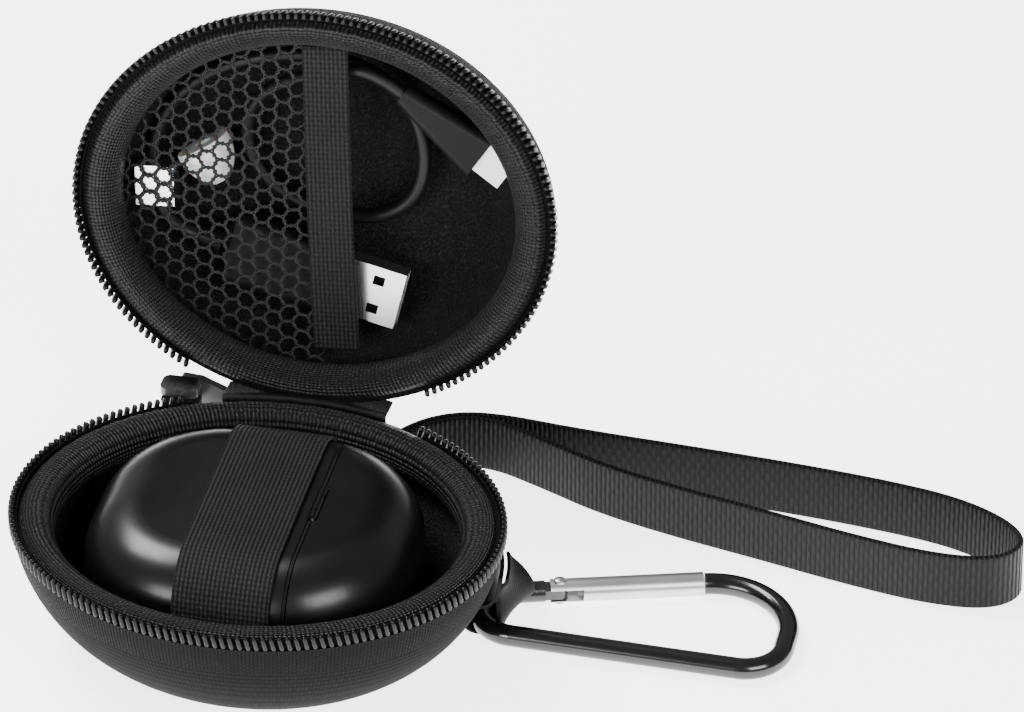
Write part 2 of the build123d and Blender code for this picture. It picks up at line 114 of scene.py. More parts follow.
def place(piece, matrix):
    """Move the shape itself, so the object stays at the origin."""
    piece.data.transform(matrix)
    if matrix.determinant() < 0:
        outward(piece)


def in_lid(across, out, deep):
    """A point of the open lid from its place in the closed lid, in millimetres."""
    return LID_OPEN @ Vector((across * MM, HINGE.y - out * MM, HINGE.z + deep * MM))


# %% A smooth line through a route
def smooth_line(points, steps=8):
    """Points along a NURBS curve whose control points are the route."""
    data = bpy.data.curves.new("route", "CURVE")
    data.dimensions = "3D"
    spline = data.splines.new("NURBS")
    spline.points.add(len(points) - 1)
    for knot, point in zip(spline.points, points):
        knot.co = (*point, 1)
    spline.order_u = 3
    spline.use_endpoint_u = True
    spline.resolution_u = steps
    holder = bpy.data.objects.new("route", data)
    bpy.context.collection.objects.link(holder)
    mesh = bpy.data.meshes.new_from_object(holder)
    line = [v.co.copy() for v in mesh.vertices]
    bpy.data.objects.remove(holder)
    bpy.data.meshes.remove(mesh)
    return line


# %% Webbing and elastic: an edge pulled along a line
def ribbon(name, line, across, thickness):
    """Pull an edge along the line, give it thickness, and write how far along and across each point is."""
    pick()
    bpy.ops.mesh.primitive_plane_add(size=1)
    piece = bpy.context.object
    piece.name = name
    bpy.ops.object.mode_set(mode="EDIT")
    mesh = bmesh.from_edit_mesh(piece.data)
    mesh.verts.ensure_lookup_table()
    bmesh.ops.delete(mesh, geom=mesh.verts[2:], context="VERTS")
    mesh.verts.ensure_lookup_table()
    if not mesh.edges:
        mesh.edges.new(mesh.verts)
    for vertex, side in zip(mesh.verts, (-0.5, 0.5)):
        vertex.co = line[0] + across * side
        vertex.select = True
    bpy.context.tool_settings.mesh_select_mode = (False, True, False)
    for edge in mesh.edges:
        edge.select = True
    bmesh.update_edit_mesh(piece.data)
    for here, there in zip(line, line[1:]):
        bpy.ops.mesh.extrude_region_move(TRANSFORM_OT_translate={"value": there - here})
    bpy.ops.object.mode_set(mode="OBJECT")
    strips = max(2, round(across.length / (1.2 * MM)))
    pick(piece)
    mesh = bmesh.new()
    mesh.from_mesh(piece.data)
    rungs = [e for e in mesh.edges if abs((e.verts[0].co - e.verts[1].co).length - across.length) < 1e-6]
    bmesh.ops.subdivide_edges(mesh, edges=rungs, cuts=strips, use_grid_fill=True)
    mesh.to_mesh(piece.data)
    mesh.free()
    while piece.data.uv_layers:
        piece.data.uv_layers.remove(piece.data.uv_layers[0])
    uv = piece.data.uv_layers.new(name="cloth")
    lengths = [0.0]
    for here, there in zip(line, line[1:]):
        lengths.append(lengths[-1] + (there - here).length)
    way = across.normalized()

    def along_of(point):
        flat = point - way * point.dot(way)
        nearest = min(range(len(line)), key=lambda i: (line[i] - way * line[i].dot(way) - flat).length)
        return lengths[nearest]

    measured = [(along_of(v.co), v.co.dot(way)) for v in piece.data.vertices]
    for loop in piece.data.loops:
        uv.data[loop.index].uv = measured[loop.vertex_index]
    solid = piece.modifiers.new("thickness", "SOLIDIFY")
    solid.thickness, solid.offset = thickness, 0
    soft = piece.modifiers.new("soft edges", "BEVEL")
    soft.width, soft.segments = thickness * 0.3, 2
    apply_modifiers(piece)
    bpy.ops.object.shade_smooth_by_angle(angle=radians(50))
    return piece


print("tools ready")

# %% [markdown]
# ## Shared effects
# Weave, grain, edge wear and the way round the rim are node groups. They give out values, masks and
# directions, and each finish uses them its own way.


# %% Start a node group
def new_group(name, inputs, outputs):
    group = bpy.data.node_groups.new(name, "ShaderNodeTree")
    for label, kind, value in inputs:
        socket = group.interface.new_socket(label, in_out="INPUT", socket_type=kind)
        if value is not None:
            socket.default_value = value
    for label, kind in outputs:
        group.interface.new_socket(label, in_out="OUTPUT", socket_type=kind)
    return group, group.nodes.new("NodeGroupInput"), group.nodes.new("NodeGroupOutput")


def math_node(nodes, links, kind, *values):
    """A Math node fed by sockets or plain numbers; returns its result."""
    node = nodes.new("ShaderNodeMath")
    node.operation = kind
    for slot_index, value in enumerate(values):
        if isinstance(value, (int, float)):
            node.inputs[slot_index].default_value = value
        else:
            links.new(value, node.inputs[slot_index])
    return node.outputs[0]


# %% Weave: threads over and under
weave_group, weave_in, weave_out = new_group(
    "weave", [("Vector", "NodeSocketVector", None), ("Across", "NodeSocketFloat", 1000),
              ("Along", "NodeSocketFloat", 1000), ("Rib", "NodeSocketFloat", 0.5)],
    [("Height", "NodeSocketFloat"), ("Thread", "NodeSocketFloat")])
n, l = weave_group.nodes, weave_group.links
split = n.new("ShaderNodeSeparateXYZ")
l.new(weave_in.outputs["Vector"], split.inputs[0])
u = math_node(n, l, "MULTIPLY", split.outputs[0], weave_in.outputs["Across"])
v = math_node(n, l, "MULTIPLY", split.outputs[1], weave_in.outputs["Along"])
su = math_node(n, l, "SINE", math_node(n, l, "MULTIPLY", u, 2 * pi))
sv = math_node(n, l, "SINE", math_node(n, l, "MULTIPLY", v, 2 * pi))
over = math_node(n, l, "MULTIPLY", su, sv)
rib_u = math_node(n, l, "MULTIPLY", math_node(n, l, "ABSOLUTE", su), weave_in.outputs["Rib"])
rest_of_rib = math_node(n, l, "SUBTRACT", 1.0, weave_in.outputs["Rib"])
rib_v = math_node(n, l, "MULTIPLY", math_node(n, l, "ABSOLUTE", sv), rest_of_rib)
ribs = math_node(n, l, "ADD", rib_u, rib_v)
crossing = math_node(n, l, "MULTIPLY", over, 0.15)
softer_ribs = math_node(n, l, "MULTIPLY", ribs, 0.85)
l.new(math_node(n, l, "ADD", crossing, ribs), weave_out.inputs["Height"])
l.new(math_node(n, l, "ADD", crossing, softer_ribs), weave_out.inputs["Thread"])

# %% Grain: fine noise and slow patches
grain_group, grain_in, grain_out = new_group(
    "grain", [("Vector", "NodeSocketVector", None), ("Fine", "NodeSocketFloat", 4000),
              ("Patch", "NodeSocketFloat", 60)],
    [("Height", "NodeSocketFloat"), ("Patches", "NodeSocketFloat")])
n, l = grain_group.nodes, grain_group.links
for label, result, detail in (("Fine", "Height", 3), ("Patch", "Patches", 5)):
    noise = n.new("ShaderNodeTexNoise")
    noise.inputs["Detail"].default_value = detail
    l.new(grain_in.outputs["Vector"], noise.inputs["Vector"])
    l.new(grain_in.outputs[label], noise.inputs["Scale"])
    l.new(noise.outputs["Fac"], grain_out.inputs[result])

# %% Edge wear: brightest on sharp corners
wear_group, wear_in, wear_out = new_group(
    "edge wear", [("Vector", "NodeSocketVector", None)], [("Mask", "NodeSocketFloat")])
n, l = wear_group.nodes, wear_group.links
bend_of_surface = n.new("ShaderNodeNewGeometry").outputs["Pointiness"]
ramp = n.new("ShaderNodeMapRange")
ramp.inputs["From Min"].default_value, ramp.inputs["From Max"].default_value = 0.52, 0.62
l.new(bend_of_surface, ramp.inputs["Value"])
spots = n.new("ShaderNodeTexNoise")
spots.inputs["Scale"].default_value = 900
l.new(wear_in.outputs["Vector"], spots.inputs["Vector"])
l.new(math_node(n, l, "MULTIPLY", ramp.outputs[0], spots.outputs["Fac"]), wear_out.inputs["Mask"])

# %% Round the rim: how far round the oval, and how high
around_group, around_in, around_out = new_group(
    "round the rim", [("Vector", "NodeSocketVector", None)], [("Vector", "NodeSocketVector")])
n, l = around_group.nodes, around_group.links
split = n.new("ShaderNodeSeparateXYZ")
l.new(around_in.outputs["Vector"], split.inputs[0])
round_y = math_node(n, l, "DIVIDE", split.outputs[1], OVAL)
turn = math_node(n, l, "ARCTAN2", round_y, split.outputs[0])
square = math_node(n, l, "ADD", math_node(n, l, "MULTIPLY", split.outputs[0], split.outputs[0]),
                  math_node(n, l, "MULTIPLY", round_y, round_y))
reach = math_node(n, l, "SQRT", square)
joined = n.new("ShaderNodeCombineXYZ")
l.new(math_node(n, l, "MULTIPLY", turn, 0.0455), joined.inputs[0])
l.new(math_node(n, l, "SUBTRACT", split.outputs[2], reach), joined.inputs[1])
l.new(joined.outputs[0], around_out.inputs["Vector"])
print("effects:", [g.name for g in (weave_group, grain_group, wear_group, around_group)])

# %% [markdown]
# ## Finishes
# A finish is a Principled shader with its colour varied, its gloss varied and a fine bump. Cloth
# has thread colour, weave height and a soft sheen; plastic and metal have grain and slow patches;
# coil, enamel and moulded black are paler where edges rub.


# %% One finish
def finish(name, dark, light, rough, pattern="grain", place_by="object", fine=4000, across=1000, along=1000,
           bump=0.1, depth=0.0001, rib=0.5, metallic=0.0, coat=0.0, sheen=0.0, shine=0.5, worn=None,
           subsurface=0.0):
    """A named material: colours between dark and light, and a bump from the pattern."""
    material = bpy.data.materials.new(name)
    material.use_nodes = True
    n, l = material.node_tree.nodes, material.node_tree.links
    shader = n["Principled BSDF"]
    coordinates = n.new("ShaderNodeTexCoord")
    where = coordinates.outputs["Object"]
    surface = coordinates.outputs["UV"] if place_by == "cloth" else where
    if place_by in ("rim", "lid rim"):
        if place_by == "lid rim":
            shut = n.new("ShaderNodeVectorRotate")
            shut.inputs["Center"].default_value = HINGE
            shut.inputs["Axis"].default_value = (1, 0, 0)
            shut.inputs["Angle"].default_value = OPEN_ANGLE
            l.new(where, shut.inputs["Vector"])
            surface = shut.outputs[0]
        around = n.new("ShaderNodeGroup")
        around.node_tree = around_group
        l.new(surface, around.inputs[0])
        surface = around.outputs[0]
    grain = n.new("ShaderNodeGroup")
    grain.node_tree = grain_group
    grain.inputs["Fine"].default_value = fine
    l.new(where, grain.inputs["Vector"])
    height, tint = grain.outputs["Height"], grain.outputs["Patches"]
    if pattern == "weave":
        weave = n.new("ShaderNodeGroup")
        weave.node_tree = weave_group
        weave.inputs["Across"].default_value, weave.inputs["Along"].default_value = across, along
        weave.inputs["Rib"].default_value = rib
        l.new(surface, weave.inputs["Vector"])
        height = math_node(n, l, "ADD", weave.outputs["Height"], math_node(n, l, "MULTIPLY", height, 0.25))
        tint = math_node(n, l, "MULTIPLY", weave.outputs["Thread"], math_node(n, l, "ADD", tint, 0.5))
    elif pattern == "fuzz":
        tint = math_node(n, l, "POWER", height, 4.0)
    mix = n.new("ShaderNodeMix")
    mix.data_type = "RGBA"
    mix.inputs["A"].default_value, mix.inputs["B"].default_value = (*dark, 1), (*light, 1)
    l.new(tint, mix.inputs["Factor"])
    colour = mix.outputs["Result"]
    patchy = math_node(n, l, "SUBTRACT", grain.outputs["Patches"], 0.5)
    gloss = math_node(n, l, "ADD", math_node(n, l, "MULTIPLY", patchy, 0.16), rough)
    if worn:
        wear = n.new("ShaderNodeGroup")
        wear.node_tree = wear_group
        l.new(where, wear.inputs[0])
        rubbed = n.new("ShaderNodeMix")
        rubbed.data_type = "RGBA"
        rubbed.inputs["B"].default_value = (*worn, 1)
        l.new(wear.outputs["Mask"], rubbed.inputs["Factor"])
        l.new(colour, rubbed.inputs["A"])
        colour = rubbed.outputs["Result"]
    l.new(colour, shader.inputs["Base Color"])
    l.new(gloss, shader.inputs["Roughness"])
    raised = n.new("ShaderNodeBump")
    raised.inputs["Strength"].default_value, raised.inputs["Distance"].default_value = bump, depth
    l.new(height, raised.inputs["Height"])
    l.new(raised.outputs["Normal"], shader.inputs["Normal"])
    for label, value in (("Metallic", metallic), ("Coat Weight", coat), ("Sheen Weight", sheen),
                         ("Specular IOR Level", shine), ("Subsurface Weight", subsurface)):
        shader.inputs[label].default_value = value
    shader.inputs["Sheen Roughness"].default_value = 0.45
    shader.inputs["Coat Roughness"].default_value = 0.06
    shader.inputs["Subsurface Scale"].default_value = 0.002
    return material


# %% Cloths
def grey(value):
    return (value, value, value * 1.03)


SIDES = (("base", "rim"), ("lid", "lid rim"))
SHELL = {side: finish(f"shell cloth {side}", grey(0.001), grey(0.005), 0.8, "weave", place_by,
                      across=640, along=700, bump=0.6, depth=0.0002, sheen=0.002, shine=0.07)
         for side, place_by in SIDES}
TAPE = {side: finish(f"zip tape {side}", grey(0.001), grey(0.005), 0.7, "weave", place_by,
                     across=700, along=1300, rib=0.8, bump=0.8, depth=0.0003, sheen=0.001, shine=0.06)
        for side, place_by in SIDES}
ROLL = {side: finish(f"rim weave {side}", grey(0.001), grey(0.012), 0.4, "weave", place_by,
                     across=560, along=620, bump=1.0, depth=0.0007, sheen=0.003, shine=0.28)
        for side, place_by in SIDES}
FELT = finish("brushed lining", grey(0.0015), grey(0.09), 0.85, "fuzz", fine=2200, bump=1.0,
              depth=0.0008, sheen=0.01, shine=0.15)
ELASTIC = finish("ribbed elastic", grey(0.001), grey(0.02), 0.6, "weave", "cloth", across=500,
                 along=560, rib=0.3, bump=1.0, depth=0.0005, sheen=0.003, shine=0.12)
WEBBING = finish("nylon webbing", grey(0.001), grey(0.006), 0.45, "weave", "cloth", across=480,
                 along=300, rib=0.97, bump=1.0, depth=0.0005, sheen=0.002, shine=0.14)
TAB_CLOTH = finish("tab webbing", grey(0.001), grey(0.004), 0.6, "weave", "cloth", across=900,
                   along=900, bump=0.6, shine=0.1)
HINGE_CLOTH = finish("hinge cloth", grey(0.002), grey(0.009), 0.6, "weave", across=1200,
                     along=1200, bump=0.6, sheen=0.01, shine=0.2)
NET = finish("net thread", grey(0.002), grey(0.009), 0.5, fine=9000, bump=0.4, sheen=0.01, shine=0.3)
print("cloths:", len(bpy.data.materials))

# %% Plastics and metals
COIL = finish("zip coil", grey(0.001), grey(0.002), 0.3, fine=3000, bump=0.1, shine=0.2, worn=grey(0.006))
GLOSS = finish("satin black", (0.002, 0.002, 0.0024), (0.0035, 0.0035, 0.004), 0.3, fine=1500,
               bump=0.02, shine=0.35)
SATIN = finish("moulded black", grey(0.002), grey(0.0035), 0.42, fine=6000, bump=0.15, shine=0.12,
               worn=grey(0.012))
RUBBER = finish("cable rubber", grey(0.0025), grey(0.006), 0.42, fine=5000, bump=0.15, shine=0.25)
ENAMEL = finish("black enamel", grey(0.002), grey(0.005), 0.2, fine=900, bump=0.03, coat=0.25,
                worn=grey(0.08))
ALUMINIUM = finish("polished aluminium", grey(0.5), grey(0.68), 0.36, fine=2500, bump=0.06, metallic=1.0)
NICKEL = finish("bright plating", grey(0.74), grey(0.88), 0.27, fine=2500, bump=0.04, metallic=1.0)
PEWTER = finish("grey pull", grey(0.16), grey(0.24), 0.3, fine=2500, bump=0.05, metallic=0.9)
GOLD = finish("gold contact", (0.72, 0.5, 0.2), (0.86, 0.66, 0.3), 0.25, fine=2500, bump=0.03, metallic=1.0)
BOARD = finish("lacquered board", (0.01, 0.09, 0.04), (0.02, 0.16, 0.07), 0.35, fine=2500, bump=0.1)
FOIL = finish("battery wrap", grey(0.4), grey(0.55), 0.35, fine=900, bump=0.1, metallic=0.4)
SILICONE = finish("white silicone", (0.78, 0.78, 0.76), (0.86, 0.86, 0.85), 0.32, fine=2500,
                  bump=0.04, subsurface=0.25)
WINDOW = finish("frosted window", grey(0.4), grey(0.5), 0.3, fine=3500, bump=0.05)
print("finishes:", len(bpy.data.materials))

# %% Dress the parts that keep their CAD shape
CAD_FINISHES = {
    "base_shell": SHELL["base"], "lid_shell": SHELL["lid"], "base_zip_tape": TAPE["base"],
    "lid_zip_tape": TAPE["lid"], "base_lining": FELT, "lid_lining": FELT,
    "charging_case_body": GLOSS, "charging_case_lid": GLOSS, "charging_case_seam_trim": SATIN,
    "earbud_tray": SATIN, "earbud_left": GLOSS, "earbud_right": GLOSS, "earbud_left_tip": SILICONE,
    "earbud_right_tip": SILICONE, "charging_lid_pin": NICKEL, "charging_socket": NICKEL,
    "charge_pins": GOLD, "case_battery": FOIL, "case_circuit_board": BOARD, "case_magnets": NICKEL,
    "status_lens": WINDOW, "usb_plug_metal": NICKEL, "usb_plug_tongue": SATIN,
    "usb_plug_grip": SATIN, "small_plug_grip": SATIN, "small_plug_metal": ALUMINIUM,
    "adapter_sleeve": NICKEL, "adapter_insert": SATIN, "spare_ear_tip": SILICONE,
    "carabiner_frame": ENAMEL, "carabiner_gate": ALUMINIUM, "gate_pin": ALUMINIUM,
    "gate_spring": NICKEL, "slider_body": ENAMEL, "slider_pull": PEWTER, "zip_chain_end": COIL,
}
for node, material in CAD_FINISHES.items():
    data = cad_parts[node].data
    if not data.materials:
        data.materials.append(material)
    for index in range(len(data.materials)):
        data.materials[index] = material
print("dressed", len(CAD_FINISHES), "parts")


def finished(piece, body, material, *replaced):
    """Give a new piece its finish and its body, and hide the CAD parts it stands for."""
    piece.data.materials.clear()
    piece.data.materials.append(material)
    if body:
        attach(piece, body)
    if replaced:
        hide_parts(*replaced)
    print(piece.name, len(piece.data.vertices) if piece.type == "MESH" else "curve")


# %% [markdown]
# ## Zip teeth
# A coil zip shows a row of small rounded loops standing on the tape. One loop is a bevelled block;
# it is copied round the oval at an even pitch and left out where the zip stops beside the hinge.

# %% One tooth
PITCH = 1.62 * MM
TOOTH_R, TOOTH_FOOT, TOOTH_TOP = 49.2 * MM, RIM_Z - 3.2 * MM, RIM_Z - 0.2 * MM
TOOTH_SLANT = radians(14)
pick()
bpy.ops.mesh.primitive_cube_add(size=1)
tooth = bpy.context.object
tooth.scale = (1.36 * MM, 1.02 * MM, TOOTH_TOP - TOOTH_FOOT)
bpy.ops.object.transform_apply(location=True, rotation=True, scale=True)
bevel = tooth.modifiers.new("round", "BEVEL")
bevel.width, bevel.segments = 0.46 * MM, 2
apply_modifiers(tooth)
bpy.ops.object.shade_smooth_by_angle(angle=radians(60))
print("tooth faces", len(tooth.data.polygons))


# %% Copy the tooth round the oval
def oval_places(radius, pitch):
    """Even places round the oval: position and the direction that faces outwards."""
    fine = [(radius * cos(t / 4000 * 2 * pi), radius * OVAL * sin(t / 4000 * 2 * pi)) for t in range(4001)]
    total = sum(hypot(b[0] - a[0], b[1] - a[1]) for a, b in zip(fine, fine[1:]))
    step = total / round(total / pitch)
    places, walked = [], 0.0
    for (ax, ay), (bx, by) in zip(fine, fine[1:]):
        walked += hypot(bx - ax, by - ay)
        if walked >= step:
            walked -= step
            places.append((bx, by, atan2(by / OVAL / OVAL, bx)))
    return places


def teeth_row(name, left, right):
    copies = []
    for x, y, facing in oval_places(TOOTH_R, PITCH):
        if y > 0 and left < x < right:
            continue
        copy = tooth.copy()
        copy.data = tooth.data.copy()
        bpy.context.collection.objects.link(copy)
        stand = Matrix.Translation((x, y, (TOOTH_FOOT + TOOTH_TOP) / 2))
        turn = Matrix.Rotation(facing, 4, "Z") @ Matrix.Rotation(TOOTH_SLANT, 4, "X")
        copy.matrix_world = stand @ turn
        copies.append(copy)
    pick(*copies)
    bpy.ops.object.join()
    row = bpy.context.object
    row.name = name
    bpy.ops.object.transform_apply(location=True, rotation=True, scale=True)
    return row


FLIP = Matrix.Translation((0, 0, 2 * RIM_Z)) @ Matrix.Diagonal((1, 1, -1, 1))
base_teeth = teeth_row("base_teeth", -25 * MM, 24 * MM)
finished(base_teeth, "base", COIL, "base_zip_teeth")
lid_teeth = teeth_row("lid_teeth", -25 * MM, 24 * MM)
place(lid_teeth, LID_OPEN @ FLIP)
finished(lid_teeth, "lid", COIL, "lid_zip_teeth")
bpy.data.objects.remove(tooth)


# %% Tape edge behind the teeth
EDGE_R, EDGE_Z, EDGE_HEIGHT = 48.3 * MM, 25.1 * MM, 3.2 * MM


def tape_edge(name):
    """The woven edge that the coil is sewn to, from one end of the row round the front to the other."""
    turns = [radians(t) for t in range(121, 421, 3)]
    line = [Vector((EDGE_R * cos(t), EDGE_R * OVAL * sin(t), EDGE_Z)) for t in turns]
    return ribbon(name, line, Vector((0, 0, EDGE_HEIGHT)), 0.4 * MM)


finished(tape_edge("base_tape_edge"), "base", TAPE["base"])
lid_edge = tape_edge("lid_tape_edge")
place(lid_edge, LID_OPEN @ FLIP)
finished(lid_edge, "lid", TAPE["lid"])

# %% [markdown]
# ## Rim roll
# The raw edge of the moulded wall is hidden by a padded roll of woven nylon, sewn down inside the
# zip. Its section is spun round, pressed to the oval and puckered slightly, the way cloth gathers
# on a curve.

# %% Spin the roll
ROLL_SECTION = [(47.5, 25.2), (47.55, 26.0), (46.9, 27.0), (45.5, 27.42), (43.9, 27.3),
                (42.3, 26.5), (41.2, 25.2), (40.7, 23.6), (40.55, 22.0), (40.9, 20.6),
                (41.8, 19.75), (43.3, 19.5)]


def rim_roll(name):
    pick()
    bpy.ops.mesh.primitive_plane_add(size=1)
    roll = bpy.context.object
    roll.name = name
    section = smooth_line([Vector((x * MM, 0, z * MM)) for x, z in ROLL_SECTION], 3)
    bpy.ops.object.mode_set(mode="EDIT")
    mesh = bmesh.from_edit_mesh(roll.data)
    mesh.clear()
    points = [mesh.verts.new(p) for p in section]
    for a, b in zip(points, points[1:]):
        mesh.edges.new((a, b))
    bmesh.update_edit_mesh(roll.data)
    bpy.ops.mesh.select_all(action="SELECT")
    bpy.ops.mesh.spin(steps=288, angle=2 * pi, center=(0, 0, 0), axis=(0, 0, 1))
    bpy.ops.object.mode_set(mode="OBJECT")
    for vertex in roll.data.vertices:
        angle = atan2(vertex.co.y, vertex.co.x)
        inside = max(0.0, 1 - abs(hypot(vertex.co.x, vertex.co.y) / MM - 44.5) / 4.2)
        vertex.co.z -= inside * MM * (0.10 + 0.06 * sin(61 * angle) + 0.05 * sin(97 * angle + 1.3))
        vertex.co.y *= OVAL
    outward(roll, 60)
    solid = roll.modifiers.new("cloth", "SOLIDIFY")
    solid.thickness, solid.offset = 0.5 * MM, -1
    apply_modifiers(roll)
    bpy.ops.object.shade_smooth_by_angle(angle=radians(60))
    return roll


base_roll = rim_roll("base_rim_roll")
finished(base_roll, "base", ROLL["base"], "base_rim_binding")
lid_roll = rim_roll("lid_rim_roll")
place(lid_roll, LID_OPEN @ FLIP)
finished(lid_roll, "lid", ROLL["lid"], "lid_rim_binding")

# %% [markdown]
# ## Hinge cloth
# A strip of the same cloth joins the halves behind the zip. It is one piece, attached to neither
# body.

# %% Hinge cloth
HINGE_ROUTE = [(40.9, 17.4), (41.3, 19.5), (41.7, 22.0), (41.5, 24.4), (41.1, 26.2), (41.4, 27.0),
               (43.2, 26.6), (46.0, 26.2), (47.6, 26.1)]
hinge_line = smooth_line([Vector((0, y * MM, z * MM)) for y, z in HINGE_ROUTE], 5)
hinge_cloth = ribbon("hinge_cloth", hinge_line, Vector((34 * MM, 0, 0)), 0.5 * MM)
for vertex in hinge_cloth.data.vertices:
    vertex.co.y -= (1 - sqrt(1 - (vertex.co.x / (49.8 * MM)) ** 2)) * 42 * MM
finished(hinge_cloth, None, HINGE_CLOTH, "base_hinge_fabric", "lid_hinge_fabric")
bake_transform(hinge_cloth)

# %% [markdown]
# ## Elastic over the charging case
# The wide elastic presses the charging case down. It is an edge pulled over the case's outline and
# is attached to neither body.

# %% Elastic strap
CASE_SIDE = Vector((-0.4 * MM, 18 * MM, 20 * MM))  # middle of the case's rounded edge
side_arc = [CASE_SIDE + Vector((0, cos(radians(a)), sin(radians(a)))) * 12.1 * MM for a in range(22, 91, 4)]
half = [Vector((-0.4 * MM, 33.6 * MM, 13.9 * MM)), Vector((-0.4 * MM, 31.4 * MM, 19.0 * MM))] + side_arc
middle = [Vector((-0.4 * MM, y * MM, 32.12 * MM)) for y in (14, 10, 6, 2)]
front_half = [Vector((p.x, -p.y, p.z)) for p in half + middle]
back_half = (half + middle)[::-1]
elastic_strap = ribbon("elastic_strap", front_half + back_half, Vector((19.6 * MM, 0, 0)), 0.9 * MM)
finished(elastic_strap, None, ELASTIC, "base_elastic_strap")
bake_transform(elastic_strap)

# %% [markdown]
# ## Pocket in the lid
# Half of the lid is a pocket of open net with a wide elastic edge. The net is a field of six-sided
# cells whose edges are given thickness; the edge band is pulled from the hinge side to the front.

# %% Pocket edge band
BAND_TOP, BAND_FOOT = (-0.9, 72.3), (4.4, 7.7)
way = (in_lid(*BAND_TOP, 7) - in_lid(*BAND_FOOT, 7)).normalized()
normal = (in_lid(0, 0, 1) - in_lid(0, 0, 0)).normalized()
BAND_ROUTE = [(4.4, 7.9, 8.4), (3.6, 17, 7.8), (2.3, 32, 7.5), (1.2, 46, 7.5), (0.0, 61, 7.8),
              (-0.9, 72, 8.4)]
band_line = smooth_line([in_lid(*point) for point in BAND_ROUTE], 12)
pocket_edge = ribbon("pocket_edge", band_line, way.cross(normal) * 9.4 * MM, 0.9 * MM)
finished(pocket_edge, "lid", ELASTIC, "pocket_band")

# %% Net
CELL = 2.0 * MM
pick()
bpy.ops.mesh.primitive_circle_add(vertices=6, radius=CELL, fill_type="NGON")
cell = bpy.context.object


def in_net(x, y):
    """True inside the half of the lid that the net covers, in millimetres of the closed lid."""
    side = x - (4.4 - 5.3 * (y - 7.7) / 64.6) + 4.4
    return side < 0.6 and (x / 43.0) ** 2 + ((y - 39.5) / 36.2) ** 2 < 1.0


cells = []
for column in range(17):
    for row in range(26):
        x = 3.0 - column * CELL / MM * 1.5
        y = 2.0 + (row + 0.5 * (column % 2)) * CELL / MM * sqrt(3)
        if in_net(x, y):
            copy = cell.copy()
            copy.data = cell.data.copy()
            bpy.context.collection.objects.link(copy)
            copy.location = (x * MM, y * MM, 0)
            cells.append(copy)
pick(*cells)
bpy.ops.object.join()
net = bpy.context.object
net.name = "pocket_net"
bpy.ops.object.transform_apply(location=True, rotation=True, scale=True)
bpy.data.objects.remove(cell)
bpy.ops.object.mode_set(mode="EDIT")
bpy.ops.mesh.select_all(action="SELECT")
bpy.ops.mesh.remove_doubles(threshold=0.0002)
bpy.ops.object.mode_set(mode="OBJECT")
for vertex in net.data.vertices:
    across, out = vertex.co.x / MM, vertex.co.y / MM
    bulge = 0.5 * cos(min(pi / 2, abs(across + 20) / 22 * pi / 2))
    bulge *= cos(min(pi / 2, abs(out - 39.5) / 33 * pi / 2))
    vertex.co = in_lid(across + 0.25 * sin(out * 0.9), out + 0.2 * sin(across * 1.1), 8.75 - bulge)
wire = net.modifiers.new("threads", "WIREFRAME")
wire.thickness, wire.use_even_offset, wire.use_boundary = 0.55 * MM, False, True
apply_modifiers(net)
bpy.ops.object.shade_smooth_by_angle(angle=radians(180))
finished(net, "lid", NET, "mesh_pocket")

# %% [markdown]
# ## Charging cable
# The cable leaves the large plug, runs round the lid under the net, and comes back to the small
# plug. It is one NURBS curve on the same route as the CAD tube.

# %% Cable
CABLE = [
    (-26.5, 26.4, 15.0), (-32.4, 27.6, 15.1), (-36.2, 33.4, 15.3), (-37.5, 40.6, 15.3), (-36.2, 48.6, 15.3),
    (-32.4, 55.6, 15.2), (-26.2, 61.2, 15.2), (-18.2, 65.0, 15.5), (-9.2, 67.0, 16.0), (-0.2, 67.0, 16.8),
    (7.8, 64.4, 17.8), (14.2, 59.3, 18.3), (17.9, 52.4, 18.3), (18.8, 44.6, 18.3), (16.4, 37.6, 18.6),
    (10.3, 33.4, 19.2), (2.2, 32.6, 19.6), (-6.0, 34.0, 19.4), (-12.8, 37.6, 19.0), (-17.2, 43.2, 18.4),
    (-18.4, 49.8, 17.4), (-16.4, 56.2, 16.0), (-11.4, 60.8, 14.2), (-4.6, 64.0, 12.9), (2.6, 66.4, 12.3),
    (9.5, 65.9, 12.4), (14.7, 62.5, 12.5),
]
cable_data = bpy.data.curves.new("charging_cable", "CURVE")
cable_data.dimensions = "3D"
spline = cable_data.splines.new("NURBS")
spline.points.add(len(CABLE) - 1)
for knot, point in zip(spline.points, CABLE):
    knot.co = (*in_lid(*point), 1)
spline.order_u = 3
spline.use_endpoint_u = True
spline.resolution_u = 12
cable_data.bevel_depth = 1.5 * MM
cable_data.bevel_resolution = 6
cable_data.use_fill_caps = True
cable = bpy.data.objects.new("charging_cable", cable_data)
bpy.context.collection.objects.link(cable)
finished(cable, "lid", RUBBER, "cable_cord")

# %% [markdown]
# ## Wrist strap
# One length of webbing is doubled and sewn to the back of the base. It stands on its edge and turns
# at its far end.

# %% Wrist strap
STRAP = [(12.2, 43.4), (12.6, 46.0), (14.7, 53.4), (21.6, 61.6), (31.8, 65.1), (52.0, 63.0),
         (73.0, 62.0), (94.0, 60.8), (114.0, 59.0), (131.0, 56.2), (142.8, 50.4), (147.4, 43.6),
         (142.4, 37.0), (130.0, 35.9), (113.0, 38.8), (93.0, 43.6), (74.0, 47.8), (58.0, 52.4),
         (46.0, 58.0), (32.3, 63.7), (22.4, 60.4), (16.1, 52.6), (13.9, 45.6), (13.8, 43.4)]
strap_line = smooth_line([Vector((x * MM, y * MM, 6.25 * MM)) for x, y in STRAP], 9)
wrist_strap = ribbon("wrist_strap_webbing", strap_line, Vector((0, 0, 12.4 * MM)), 1.2 * MM)
finished(wrist_strap, "wrist_strap", WEBBING, "wrist_strap")
